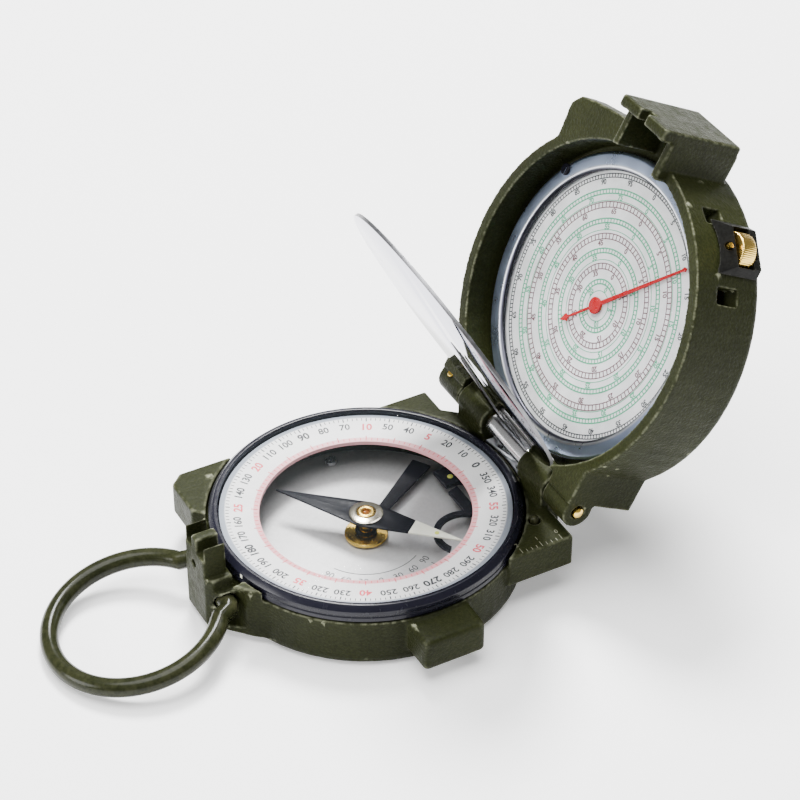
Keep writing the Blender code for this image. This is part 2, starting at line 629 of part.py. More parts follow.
def build_wheel_bracket(lid):
    """Dark cheeks on the lid's wall that guard the measuring wheel."""
    angle_span = math.radians(9.0)
    inner = LID_R + GAP
    outer, back = 33.0 * MM, -10.8 * MM
    mesh = bpy.data.meshes.new("wheel_bracket")
    shape = bmesh.new()
    for height, radius, half in ((-1.5 * MM, inner + 0.1 * MM, angle_span), (-5.3 * MM, outer, 0.7 * angle_span),
                                 (back, outer, 0.7 * angle_span), (back, inner, angle_span),
                                 (-1.5 * MM, inner - 2 * MM, angle_span), (back, inner - 2 * MM, angle_span)):
        for side in (1, -1):
            shape.verts.new((*polar(radius, side * half), height))
    hull = bmesh.ops.convex_hull(shape, input=shape.verts)
    bmesh.ops.delete(shape, geom=hull["geom_interior"], context="VERTS")
    shape.to_mesh(mesh)
    shape.free()
    bracket = add_object("wheel_bracket", mesh, lid)
    bracket.location = (LID_CENTRE, 0.0, 0.0)
    bracket.rotation_euler = (0.0, 0.0, WHEEL_DIR)
    wall = disc("bracket_wall_cut", inner, -14 * MM, 2 * MM, lid, (LID_CENTRE, 0.0), sides=72)
    slot = radial_box("bracket_slot", (24 * MM, 36 * MM), 3.75 * MM, (-9.15 * MM, -5.3 * MM), WHEEL_DIR, lid)
    spot = lid_polar(WHEEL_AT_R, WHEEL_DIR)
    pocket = rod("pinion_pocket", 2.75 * MM, (*spot, -10.35 * MM), (*spot, -9.0 * MM), lid)
    rivet_foot = (*lid_polar(31.9 * MM, WHEEL_DIR), -4.1 * MM)
    rivet_top = (*lid_polar(32.85 * MM, WHEEL_DIR), -4.1 * MM)
    rivet_hole = rod("bracket_rivet_hole", 0.75 * MM, (*lid_polar(31 * MM, WHEEL_DIR), -4.1 * MM),
                     (*lid_polar(34 * MM, WHEEL_DIR), -4.1 * MM), lid, sides=16)
    cut(bracket, wall, slot, pocket, rivet_hole)
    finish(bracket, "black_paint")
    finish(rod("bracket_rivet", 0.5 * MM, rivet_foot, rivet_top, lid, sides=16), "brass")


# --- Map measurer ------------------------------------------------------------------------------------------

def gear_outline(teeth, phase=0.0):
    """Slim trapezoid teeth, which leave backlash in the mesh."""
    pitch_r = teeth * GEAR_MODULE / 2
    root_r, top_r = pitch_r - 0.55 * MM, pitch_r + 0.32 * MM
    points = []
    for tooth in range(teeth):
        centre = phase + 2 * math.pi * tooth / teeth
        for radius, width in ((root_r, -0.34), (top_r, -0.13), (top_r, 0.13), (root_r, 0.34)):
            points.append(polar(radius, centre + width * MM / radius))
    return points


def spun_frame(name, spot, lid):
    return frame_empty(name, (spot[0], spot[1], 0.0), parent=lid)


def build_map_wheel(lid):
    """Wheel that rolls on the map, on an arbor with the first pinion."""
    hub = spun_frame("map_wheel_axis", lid_polar(WHEEL_AT_R, WHEEL_DIR), lid)
    rim = [(WHEEL_R + (0.0 if i % 2 else 0.12 * MM), 2 * math.pi * i / 48) for i in range(48)]
    outline = [polar(radius, angle) for radius, angle in rim]
    wheel = plate("map_wheel", outline, -8.9 * MM, -5.7 * MM, hub)
    bevel(wheel, 0.3 * MM)
    cut(wheel, rod("wheel_bore", 1.05 * MM, (0, 0, -12 * MM), (0, 0, -4 * MM), hub))
    finish(wheel, "brass")
    arbor = plate("wheel_arbor", gear_outline(PINION_TEETH, WHEEL_DIR), -9.95 * MM, -9.25 * MM, hub)
    join(arbor, rod("wheel_shaft", 0.7 * MM, (0, 0, -10.05 * MM), (0, 0, -5.45 * MM), hub))
    finish(arbor, "brass")


def build_idler(lid):
    hub = spun_frame("idler_axis", lid_polar(IDLER_AT_R, WHEEL_DIR), lid)
    half_tooth = math.pi / IDLER_TEETH
    gear = plate("idler_gear", gear_outline(IDLER_TEETH, WHEEL_DIR + half_tooth), -9.9 * MM, -9.3 * MM, hub)
    pinion = plate("idler_pinion", gear_outline(PINION_TEETH, WHEEL_DIR + HALF_TURN), -9.4 * MM, -5.7 * MM, hub)
    join(gear, pinion, rod("idler_shaft", 0.7 * MM, (0, 0, -10.0 * MM), (0, 0, -5.0 * MM), hub))
    finish(gear, "brass")


def build_pointer(lid):
    hub = spun_frame("pointer_axis", (LID_CENTRE, 0.0), lid)
    half_tooth = math.pi / CENTRE_TEETH
    gear = plate("centre_gear", gear_outline(CENTRE_TEETH, WHEEL_DIR + half_tooth), -6.9 * MM, -5.9 * MM, hub)
    join(gear, rod("centre_shaft", 0.8 * MM, (0, 0, -9.8 * MM), (0, 0, -2.95 * MM), hub))
    finish(gear, "brass")
    arm = [(23.6, 0.0), (22.0, 0.32), (1.2, 0.5), (0.0, 1.6), (-1.2, 0.5), (-6.6, 0.32), (-6.6, 1.0), (-9.4, 0.0),
           (-6.6, -1.0), (-6.6, -0.32), (-1.2, -0.5), (0.0, -1.6), (1.2, -0.5), (22.0, -0.32)]
    turn = math.cos(POINTER_DIR), math.sin(POINTER_DIR)
    outline = [((x * turn[0] - y * turn[1]) * MM, (x * turn[1] + y * turn[0]) * MM) for x, y in arm]
    pointer = plate("pointer", outline, -2.65 * MM, -2.4 * MM, hub)
    join(pointer, rod("pointer_hub", 1.6 * MM, (0, 0, -2.65 * MM), (0, 0, -2.35 * MM), hub))
    finish(pointer, "red_paint")


def build_all():
    build_base_body()
    build_dial_plate()
    build_pivot()
    build_index_block()
    build_friction_leaf()
    build_hinge_pin()
    build_snap_wire()
    build_bezel()
    build_needle()
    build_clinometer()
    build_needle_arrest()
    build_finger_ring()
    build_mirror()
    lid = lid_frame()
    build_lid_body(lid)
    build_lid_dial(lid)
    build_wheel_bracket(lid)
    build_map_wheel(lid)
    build_idler(lid)
    build_pointer(lid)


build_all()
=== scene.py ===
"""Looks of a folding sighting compass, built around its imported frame. Metres, +Z up.

Lid pieces are modelled in the lid's own frame: X away from the hinge pin, Y along it and
Z out of the lid's dial. Each is then turned into the shared frame and rides on its body.
"""
import json
import math

import bmesh
import bpy
from mathutils import Matrix, Vector


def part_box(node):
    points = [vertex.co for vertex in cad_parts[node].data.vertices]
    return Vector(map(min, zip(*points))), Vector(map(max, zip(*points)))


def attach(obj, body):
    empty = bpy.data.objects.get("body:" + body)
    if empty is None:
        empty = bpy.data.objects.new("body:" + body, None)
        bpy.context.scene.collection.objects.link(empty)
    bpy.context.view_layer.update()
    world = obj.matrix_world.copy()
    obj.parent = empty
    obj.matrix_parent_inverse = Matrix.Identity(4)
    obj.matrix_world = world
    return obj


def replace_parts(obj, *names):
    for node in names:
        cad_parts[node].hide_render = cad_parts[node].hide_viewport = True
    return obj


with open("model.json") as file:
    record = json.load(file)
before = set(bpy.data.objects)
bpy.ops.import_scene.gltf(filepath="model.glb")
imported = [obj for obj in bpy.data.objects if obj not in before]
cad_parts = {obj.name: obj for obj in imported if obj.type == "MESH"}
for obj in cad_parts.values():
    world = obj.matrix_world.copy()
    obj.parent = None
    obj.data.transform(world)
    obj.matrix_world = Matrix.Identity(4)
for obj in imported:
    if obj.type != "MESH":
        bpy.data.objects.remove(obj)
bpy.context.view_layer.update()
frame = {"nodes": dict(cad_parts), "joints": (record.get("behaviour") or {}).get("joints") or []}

MM = 0.001
NODES = frame["nodes"]
JOINTS = {joint["name"]: joint for joint in frame["joints"]}

# Frames of the hinged parts
HINGE = Vector(JOINTS["lid_hinge"]["pos_m"])
LID_ANGLE = math.radians(61.6)
MIRROR_ANGLE = math.radians(116.5)
LID = Matrix.Translation(HINGE) @ Matrix.Rotation(-LID_ANGLE, 4, "Y")
MIRROR = Matrix.Translation(HINGE) @ Matrix.Rotation(-MIRROR_ANGLE, 4, "Y")
LID_CENTRE = 29.6 * MM
LID_DISC = LID @ Matrix.Translation((LID_CENTRE, 0.0, 0.0))

# Dial levels and radii
SCALE_IN, SCALE_OUT = 19.06 * MM, 26.2 * MM
SCALE_IN_Z, SCALE_OUT_Z = 11.5 * MM, 12.3 * MM
FLOOR_TOP = 5.1 * MM
NEEDLE_Z = 10.0 * MM
NEEDLE_ANGLE = math.radians(-51.0)
LID_DIAL_TOP = -3.1 * MM
PRINT = 0.03 * MM

# Radius in millimetres at which a radial colour ramp ends
RADIUS_SPAN = 40.0

# Studio
FLOOR_GLOW = 0.36
WORLD_GLOW = 0.24


# --- Materials -----------------------------------------------------------------------------------

def new_material(name, colour=(0.8, 0.8, 0.8), roughness=0.5, metallic=0.0):
    """A material with its node tree and its shader."""
    material = bpy.data.materials.new(name)
    material.use_nodes = True
    tree = material.node_tree
    shader = tree.nodes["Principled BSDF"]
    shader.inputs["Base Color"].default_value = (*colour, 1.0)
    shader.inputs["Roughness"].default_value = roughness
    shader.inputs["Metallic"].default_value = metallic
    shader.inputs["Specular IOR Level"].default_value = 0.5 if metallic > 0.5 else 0.3
    return material, tree, shader


def node(tree, kind, **values):
    made = tree.nodes.new(kind)
    for key, value in values.items():
        if key in made.inputs:
            made.inputs[key].default_value = value
        else:
            setattr(made, key, value)
    return made


def noise(tree, scale, detail=3.0, roughness=0.5):
    place = node(tree, "ShaderNodeTexCoord")
    made = node(tree, "ShaderNodeTexNoise", Scale=scale, Detail=detail, Roughness=roughness)
    tree.links.new(place.outputs["Object"], made.inputs["Vector"])
    return made.outputs["Fac"]


def ramp(tree, source, stops, interpolation="LINEAR"):
    made = node(tree, "ShaderNodeValToRGB")
    made.color_ramp.interpolation = interpolation
    while len(made.color_ramp.elements) < len(stops):
        made.color_ramp.elements.new(0.5)
    for element, (position, colour) in zip(made.color_ramp.elements, stops):
        element.position = position
        element.color = (*colour, 1.0) if len(colour) == 3 else colour
    tree.links.new(source, made.inputs["Fac"])
    return made.outputs["Color"]


def grey(value):
    return (value, value, value)


def mix(tree, factor, first, second, blend="MIX"):
    made = node(tree, "ShaderNodeMix", data_type="RGBA", blend_type=blend)
    if isinstance(factor, float):
        made.inputs[0].default_value = factor
    else:
        tree.links.new(factor, made.inputs[0])
    for socket, value in ((6, first), (7, second)):
        if isinstance(value, tuple):
            made.inputs[socket].default_value = (*value, 1.0)
        else:
            tree.links.new(value, made.inputs[socket])
    return made.outputs[2]


def bump(tree, shader, height, strength, distance):
    made = node(tree, "ShaderNodeBump", Strength=strength, Distance=distance)
    tree.links.new(height, made.inputs["Height"])
    tree.links.new(made.outputs["Normal"], shader.inputs["Normal"])


def surface(tree, shader, colour=None, roughness=None):
    if colour is not None:
        tree.links.new(colour, shader.inputs["Base Color"])
    if roughness is not None:
        tree.links.new(roughness, shader.inputs["Roughness"])


def enamel(name, dark, light, wear_and_highlight_colour, wrinkle=0.5, gloss=0.42, sheen=0.055):
    """Stoved wrinkle enamel on a casting, lighter along its edges, partly bare from abrasion and partly a
    painted highlight.
    """
    material, tree, shader = new_material(name)
    shader.inputs["Specular IOR Level"].default_value = sheen
    patches = ramp(tree, noise(tree, 55.0, 4.0), [(0.35, dark), (0.65, light)])
    grain = ramp(tree, noise(tree, 2100.0, 2.0), [(0.38, grey(0.72)), (0.62, grey(1.0))])
    coloured = mix(tree, 1.0, patches, grain, "MULTIPLY")
    edges = node(tree, "ShaderNodeNewGeometry")
    # Lighter edges: partly abraded paint, partly a painted highlight along the rims.
    edge_wear_and_highlight = ramp(tree, edges.outputs["Pointiness"], [(0.515, grey(0.0)), (0.58, grey(0.62))])
    patchy = ramp(tree, noise(tree, 900.0, 3.0), [(0.40, grey(0.15)), (0.60, grey(1.0))])
    wear_and_highlight_mask = mix(tree, 1.0, edge_wear_and_highlight, patchy, "MULTIPLY")
    surface(tree, shader, mix(tree, wear_and_highlight_mask, coloured, wear_and_highlight_colour),
            ramp(tree, noise(tree, 700.0, 3.0), [(0.3, grey(gloss * 0.8)), (0.7, grey(gloss * 1.2))]))
    bump(tree, shader, noise(tree, 1900.0, 3.0, 0.6), wrinkle, 0.16 * MM)
    return material


def plain_paint(name, colour, roughness, grain=0.12, sheen=0.3):
    """Smooth paint with a faint orange peel."""
    material, tree, shader = new_material(name, colour, roughness)
    shader.inputs["Specular IOR Level"].default_value = sheen
    shade = ramp(tree, noise(tree, 260.0, 3.0), [(0.3, tuple(c * 0.82 for c in colour)), (0.7, colour)])
    rough = ramp(tree, noise(tree, 900.0), [(0.3, grey(roughness * 0.8)), (0.7, grey(roughness * 1.2))])
    surface(tree, shader, shade, rough)
    bump(tree, shader, noise(tree, 1600.0), grain, 0.04 * MM)
    return material


def metal(name, colour, roughness, streak=0.10, mottle=0.20):
    """Turned or rolled metal, with fine uneven polish."""
    material, tree, shader = new_material(name, colour, roughness, 1.0)
    dull = tuple(c * (1 - mottle) for c in colour)
    shade = ramp(tree, noise(tree, 420.0, 4.0), [(0.3, dull), (0.7, colour)])
    rough = ramp(tree, noise(tree, 1400.0, 4.0),
                 [(0.3, grey(roughness * (1 - mottle))), (0.7, grey(roughness * (1 + mottle)))])
    surface(tree, shader, shade, rough)
    bump(tree, shader, noise(tree, 3200.0, 2.0), streak, 0.02 * MM)
    return material


def print_ink(name, colour):
    """Screen-printed ink, slightly broken."""
    material, tree, shader = new_material(name, colour, 0.5)
    paler = tuple(min(1.0, c * 1.5 + 0.03) for c in colour)
    surface(tree, shader, ramp(tree, noise(tree, 3500.0), [(0.35, colour), (0.75, paler)]))
    return material


def radius_from(tree, centre, axis_u, axis_v):
    """Distance from a turning axis, as a share of the radius span."""
    place = node(tree, "ShaderNodeTexCoord")
    offset = node(tree, "ShaderNodeVectorMath", operation="SUBTRACT")
    tree.links.new(place.outputs["Object"], offset.inputs[0])
    offset.inputs[1].default_value = centre
    squares = []
    for axis in (axis_u, axis_v):
        dot = node(tree, "ShaderNodeVectorMath", operation="DOT_PRODUCT")
        tree.links.new(offset.outputs[0], dot.inputs[0])
        dot.inputs[1].default_value = axis
        power = node(tree, "ShaderNodeMath", operation="POWER")
        power.inputs[1].default_value = 2.0
        tree.links.new(dot.outputs["Value"], power.inputs[0])
        squares.append(power.outputs[0])
    total = node(tree, "ShaderNodeMath", operation="ADD")
    for index, square in enumerate(squares):
        tree.links.new(square, total.inputs[index])
    root = node(tree, "ShaderNodeMath", operation="SQRT")
    tree.links.new(total.outputs[0], root.inputs[0])
    scaled = node(tree, "ShaderNodeMath", operation="MULTIPLY")
    scaled.inputs[1].default_value = 1.0 / (RADIUS_SPAN * MM)
    tree.links.new(root.outputs[0], scaled.inputs[0])
    return scaled.outputs[0]


def radial_ramp(tree, radius, stops):
    """Colours at radii that are given in millimetres."""
    return ramp(tree, radius, [(r / RADIUS_SPAN, colour) for r, colour in stops])


def scale_paint():
    """White scale ring with its pink inner band and its bare bevel."""
    material, tree, shader = new_material("scale_paint", (0.85, 0.85, 0.84), 0.38)
    radius = radius_from(tree, (0, 0, 0), (1, 0, 0), (0, 1, 0))
    pink, white, bevel = (0.80, 0.40, 0.42), (0.84, 0.84, 0.83), (0.30, 0.33, 0.38)
    bands = [(0.0, pink), (20.05, pink), (20.15, white), (25.1, white), (25.25, bevel)]
    printed = radial_ramp(tree, radius, bands)
    clouded = ramp(tree, noise(tree, 300.0), [(0.3, grey(0.93)), (0.7, grey(1.0))])
    surface(tree, shader, mix(tree, 1.0, printed, clouded, "MULTIPLY"))
    bump(tree, shader, noise(tree, 1800.0), 0.06, 0.02 * MM)
    return material


def floor_metal():
    """Satin dial floor, matt-blasted, with painted shadow of the bezel darkening it round the edge."""
    material, tree, shader = new_material("floor_metal", (0.6, 0.6, 0.61), 0.45, 0.35)
    radius = radius_from(tree, (0, 0, 0), (1, 0, 0), (0, 1, 0))
    # Painted shadow: the floor's colour darkens towards its edge, standing in for the bezel's shadow.
    painted_bezel_shadow = radial_ramp(tree, radius, [(0.0, grey(0.62)), (16.0, grey(0.52)), (24.0, grey(0.30))])
    grain = ramp(tree, noise(tree, 1500.0), [(0.3, grey(0.90)), (0.7, grey(1.0))])
    surface(tree, shader, mix(tree, 1.0, painted_bezel_shadow, grain, "MULTIPLY"))
    bump(tree, shader, noise(tree, 4200.0), 0.12, 0.02 * MM)
    return material


def clear_glass():
    material, tree, shader = new_material("clear_glass", (0.05, 0.06, 0.06), 0.03)
    shader.inputs["Alpha"].default_value = 0.05
    shader.inputs["IOR"].default_value = 1.25
    smear = ramp(tree, noise(tree, 90.0), [(0.3, grey(0.02)), (0.7, grey(0.07))])
    surface(tree, shader, None, smear)
    material.surface_render_method = "BLENDED"
    return material


def anodised_ring():
    """Blue-grey turned ring with painted shadow in the dark step beside the dial, and a bare line above it."""
    blue, bare, dark, painted_step_shadow = (0.42, 0.50, 0.66), (0.66, 0.68, 0.72), (0.04, 0.04, 0.05), (0.12, 0.12, 0.14)
    material, tree, shader = new_material("blue_anodised", blue, 0.24, 1.0)
    radius = radius_from(tree, tuple(LID_DISC.translation), tuple(LID.col[0].xyz), tuple(LID.col[1].xyz))
    # Painted shadow: the two darkest bands at the inner step stand in for shade where the ring drops to the
    # dial.
    bands = [(24.60, dark), (24.72, painted_step_shadow), (24.95, bare), (25.10, bare), (25.35, blue)]
    turned = radial_ramp(tree, radius, bands)
    surface(tree, shader, turned, ramp(tree, noise(tree, 300.0), [(0.3, grey(0.26)), (0.7, grey(0.33))]))
    return material


def mirror_silver():
    """Silvering that is dull and dark towards the hinge, a painted reflection of the lid's dark wall."""
    material, tree, shader = new_material("mirror_silver", (0.56, 0.56, 0.62), 0.03, 1.0)
    haze = ramp(tree, noise(tree, 160.0, 5.0), [(0.35, grey(0.02)), (0.75, grey(0.08))])
    distance = radius_from(tree, tuple(HINGE), (1, 0, 0), (0, 0, 1))
    dark, middle, bright = 3.0, 17.0, 23.0
    # Painted reflection: the colour and the specular tint darken towards the hinge, as if the plate mirrored
    # the lid's dark wall.
    shade = radial_ramp(tree, distance, [(dark, (0.07, 0.07, 0.06)), (middle, (0.12, 0.12, 0.11)),
                                         (bright, (0.60, 0.60, 0.66))])
    painted_reflection_tint = radial_ramp(tree, distance, [(dark, grey(0.12)), (middle, grey(0.16)),
                                            (bright, (0.83, 0.83, 0.87))])
    surface(tree, shader, shade, haze)
    tree.links.new(painted_reflection_tint, shader.inputs["Specular Tint"])
    return material


OLIVE = enamel("olive_enamel", (0.013, 0.015, 0.005), (0.021, 0.024, 0.008), (0.30, 0.31, 0.21), 0.9)
OLIVE_WIRE = enamel("olive_wire_enamel", (0.010, 0.012, 0.005), (0.016, 0.018, 0.007), (0.06, 0.06, 0.03),
                    0.06, 0.20, 0.13)
BRACKET_BLACK = enamel("bracket_enamel", grey(0.005), (0.009, 0.009, 0.008), (0.05, 0.05, 0.04), 0.4)
BEZEL_BLACK = plain_paint("bezel_lacquer", (0.008, 0.008, 0.014), 0.24, 0.05, 0.22)
SATIN_BLACK = plain_paint("satin_black", (0.006, 0.006, 0.010), 0.38, 0.12, 0.10)
LEVER_BLACK = plain_paint("lever_black", (0.010, 0.010, 0.015), 0.42, 0.12, 0.12)
CREAM = plain_paint("needle_cream", (0.80, 0.80, 0.68), 0.40)
LUME = plain_paint("luminous_paint", (0.62, 0.66, 0.12), 0.55, 0.4)
DIAL_WHITE = plain_paint("dial_white", (0.90, 0.91, 0.90), 0.35, 0.04)
POINTER_RED = plain_paint("pointer_red", (0.46, 0.008, 0.012), 0.30, 0.12, 0.15)
JEWEL = plain_paint("jewel_amber", (0.30, 0.10, 0.02), 0.10, 0.0)
FLOOR_METAL = floor_metal()
SCALE_PAINT = scale_paint()
GLASS = clear_glass()
SILVER = mirror_silver()
MIRROR_RIM = metal("mirror_rim", (0.20, 0.20, 0.21), 0.40, 0.0)
CHROME = metal("chrome", (0.95, 0.95, 0.95), 0.22, 0.0, 0.04)
CAP_NICKEL = metal("cap_nickel", (0.70, 0.65, 0.52), 0.20, 0.0, 0.05)
STEEL = metal("bright_steel", (0.62, 0.63, 0.65), 0.28)
LEAF = metal("leaf_steel", (0.58, 0.60, 0.63), 0.34)
BRASS = metal("satin_brass", (0.84, 0.57, 0.12), 0.26, 0.02, 0.06)
POLISHED_BRASS = metal("polished_brass", (0.88, 0.60, 0.15), 0.24, 0.0, 0.06)
ANODISED = anodised_ring()
INK_BLACK = print_ink("ink_black", (0.020, 0.022, 0.026))
INK_RED = print_ink("ink_red", (0.62, 0.07, 0.10))
INK_GREEN = print_ink("ink_green", (0.06, 0.34, 0.18))
INK_ENGRAVED = print_ink("ink_engraved", (0.12, 0.12, 0.08))
INK_ROSE = print_ink("ink_rose", (0.12, 0.05, 0.06))
INK_GREY = print_ink("ink_grey", (0.025, 0.028, 0.03))


# --- Mesh helpers --------------------------------------------------------------------------------

def piece(name, mesh, material, body, matrix=None, smooth=30):
    """A finished mesh, put in place, with its material, riding on a body."""
    if matrix is not None:
        mesh.transform(matrix)
    mesh.materials.clear()
    mesh.materials.append(material)
    mesh.shade_smooth()
    mesh.set_sharp_from_angle(angle=math.radians(smooth))
    obj = bpy.data.objects.new(name, mesh)
    bpy.context.scene.collection.objects.link(obj)
    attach(obj, body)
    return obj


def to_mesh(shape, name):
    bmesh.ops.remove_doubles(shape, verts=shape.verts, dist=0.000001)
    bmesh.ops.recalc_face_normals(shape, faces=shape.faces)
    mesh = bpy.data.meshes.new(name)
    shape.to_mesh(mesh)
    shape.free()
    return mesh


def in_mm(points):
    """A profile or outline that is written in millimetres."""
    return [(x * MM, y * MM) for x, y in points]


def polar(radius, angle, centre=(0.0, 0.0)):
    return (centre[0] + radius * math.cos(angle), centre[1] + radius * math.sin(angle))


def arc(radius, start, end, steps, centre=(0.0, 0.0)):
    """Points along an arc, angles in radians."""
    return [polar(radius, start + (end - start) * i / steps, centre) for i in range(steps + 1)]


def softened(points, radius, closed=True, steps=3):
    """Round the corners of an outline by up to a radius."""
    rounded = []
    count = len(points)
    for index, point in enumerate(points):
        if not closed and index in (0, count - 1):
            rounded.append(tuple(point))
            continue
        here = Vector(point)
        before = Vector(points[index - 1]) - here
        after = Vector(points[(index + 1) % count]) - here
        reach = min(radius, 0.45 * before.length, 0.45 * after.length)
        first = here + before.normalized() * reach
        last = here + after.normalized() * reach
        for step in range(steps + 1):
            t = step / steps
            rounded.append(tuple(first * (1 - t) ** 2 + here * (2 * t * (1 - t)) + last * t ** 2))
    return rounded


def lathe(name, profile, sides=160):
    """Turn a profile of (radius, height). One that starts off the axis closes to a ring."""
    shape = bmesh.new()
    points = [shape.verts.new((radius, 0.0, height)) for radius, height in profile]
    edges = [shape.edges.new(pair) for pair in zip(points, points[1:])]
    if profile[0][0] > 0:
        edges.append(shape.edges.new((points[-1], points[0])))
    bmesh.ops.spin(shape, geom=points + edges, axis=(0, 0, 1), cent=(0, 0, 0),
                   angle=2 * math.pi, steps=sides, use_merge=False)
    return to_mesh(shape, name)


def rim_profile(inner, outer, low, high, radius):
    return softened([(inner, high), (outer, high), (outer, low), (inner, low)], radius)


def disc_profile(outer, low, high, radius):
    return softened([(0.0, high), (outer, high), (outer, low), (0.0, low)], radius, closed=False)


def curve_mesh(name, curve):
    guide = bpy.data.objects.new(name + "_guide", curve)
    bpy.context.scene.collection.objects.link(guide)
    bpy.context.view_layer.update()
    mesh = bpy.data.meshes.new_from_object(guide.evaluated_get(bpy.context.evaluated_depsgraph_get()))
    bpy.data.objects.remove(guide)
    return mesh


def welded(mesh):
    shape = bmesh.new()
    shape.from_mesh(mesh)
    return to_mesh(shape, mesh.name)


def sheet(name, outlines, low, high, edge=0.0):
    """A flat plate of one outline, with any others as holes, and rounded edges."""
    curve = bpy.data.curves.new(name, "CURVE")
    curve.dimensions = "2D"
    curve.fill_mode = "BOTH"
    curve.extrude = (high - low) / 2 - edge
    curve.bevel_depth = edge
    curve.bevel_resolution = 2
    curve.offset = -edge
    for outline in outlines:
        spline = curve.splines.new("POLY")
        spline.points.add(len(outline) - 1)
        for point, (x, y) in zip(spline.points, outline):
            point.co = (x, y, 0.0, 1.0)
        spline.use_cyclic_u = True
    mesh = welded(curve_mesh(name, curve))
    mesh.transform(Matrix.Translation((0.0, 0.0, (low + high) / 2)))
    return mesh


def text_mesh(text, size, weight=0.0):
    """A number as thin raised ink, centred on its origin."""
    curve = bpy.data.curves.new("number_" + text, "FONT")
    curve.body = text
    curve.size = size
    curve.align_x = "CENTER"
    curve.align_y = "CENTER"
    curve.extrude = PRINT / 2
    curve.resolution_u = 3
    curve.offset = weight
    return curve_mesh("number_" + text, curve)


class Ink:
    """Collects ticks, circles and numbers of one colour into a single mesh."""

    def __init__(self, name, height):
        self.name = name
        self.height = height
        self.shape = bmesh.new()

    def slab(self, size, matrix):
        scale = Matrix.Diagonal((*size, 1.0))
        bmesh.ops.create_cube(self.shape, size=1.0, matrix=matrix @ scale)

    def tick(self, inner, outer, width, angle):
        """A radial tick between two radii, lying on the surface of the scale."""
        low, high = self.height(inner), self.height(outer)
        slope = math.atan2(high - low, outer - inner)
        middle = (inner + outer) / 2
        place = (Matrix.Rotation(angle, 4, "Z") @ Matrix.Translation((middle, 0, (low + high) / 2))
                 @ Matrix.Rotation(-slope, 4, "Y"))
        self.slab((outer - inner, width, PRINT), place)

    def ticks(self, inner, outer, width, count, start=0.0):
        for index in range(count):
            self.tick(inner, outer, width, start + 2 * math.pi * index / count)

    def circle(self, radius, width, sides=160):
        low = self.height(radius) - PRINT / 2
        mesh = lathe("circle", [(radius - width / 2, low + PRINT), (radius + width / 2, low + PRINT),
                                (radius + width / 2, low), (radius - width / 2, low)], sides)
        self.shape.from_mesh(mesh)
        bpy.data.meshes.remove(mesh)

    def number(self, text, size, radius, angle, slope=0.0, facing=1.0, weight=0.0):
        """A number at a radius, with its top outward, or inward where facing is -1."""
        mesh = text_mesh(text, size, weight)
        turn = angle - facing * math.pi / 2
        place = (Matrix.Translation((*polar(radius, angle), self.height(radius)))
                 @ Matrix.Rotation(turn, 4, "Z") @ Matrix.Rotation(facing * slope, 4, "X"))
        mesh.transform(place)
        self.shape.from_mesh(mesh)
        bpy.data.meshes.remove(mesh)

    def finish(self, material, body, matrix=None):
        mesh = bpy.data.meshes.new(self.name)
        self.shape.to_mesh(mesh)
        self.shape.free()
        piece(self.name, mesh, material, body, matrix)


def casting(name, source, body, material, voxel=0.26 * MM):
    """A cast copy of a frame part, with every edge and inside corner rounded off."""
    mesh = NODES[source].data.copy()
    obj = bpy.data.objects.new(name + "_raw", mesh)
    bpy.context.scene.collection.objects.link(obj)
    weld = obj.modifiers.new("Weld", "WELD")
    weld.merge_threshold = 0.000005
    remesh = obj.modifiers.new("Remesh", "REMESH")
    remesh.mode = "VOXEL"
    remesh.voxel_size = voxel
    smooth = obj.modifiers.new("Smooth", "SMOOTH")
    smooth.factor = 0.5
    smooth.iterations = 3
    thin = obj.modifiers.new("Thin", "DECIMATE")
    thin.ratio = 0.4
    bpy.context.view_layer.update()
    done = bpy.data.meshes.new_from_object(obj.evaluated_get(bpy.context.evaluated_depsgraph_get()))
    bpy.data.objects.remove(obj)
    made = piece(name, done, material, body, smooth=60)
    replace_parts(made, source)


def repaint(names, material):
    """Colour frame parts that keep their own mesh."""
    for name in names:
        NODES[name].data.materials.clear()
        NODES[name].data.materials.append(material)


def bevelled_copy(name, source, body, material, width=0.15 * MM):
    """A copy of a frame part with small rounded edges."""
    mesh = welded(NODES[source].data.copy())
    shape = bmesh.new()
    shape.from_mesh(mesh)
    bmesh.ops.dissolve_limit(shape, angle_limit=math.radians(1.0), verts=shape.verts, edges=shape.edges)
    sharp = [edge for edge in shape.edges if edge.is_manifold and edge.calc_face_angle() > math.radians(28)]
    bmesh.ops.bevel(shape, geom=sharp, offset=width, segments=2, affect="EDGES", clamp_overlap=True)
    made = piece(name, to_mesh(shape, name), material, body, smooth=40)
    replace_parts(made, source)


def scale_height(radius):
    """Height of the scale ring's cone at a radius."""
    share = (radius - SCALE_IN) / (SCALE_OUT - SCALE_IN)
    return SCALE_IN_Z + share * (SCALE_OUT_Z - SCALE_IN_Z) + PRINT / 3


SCALE_SLOPE = math.atan2(SCALE_OUT_Z - SCALE_IN_Z, SCALE_OUT - SCALE_IN)


# --- Base ----------------------------------------------------------------------------------------

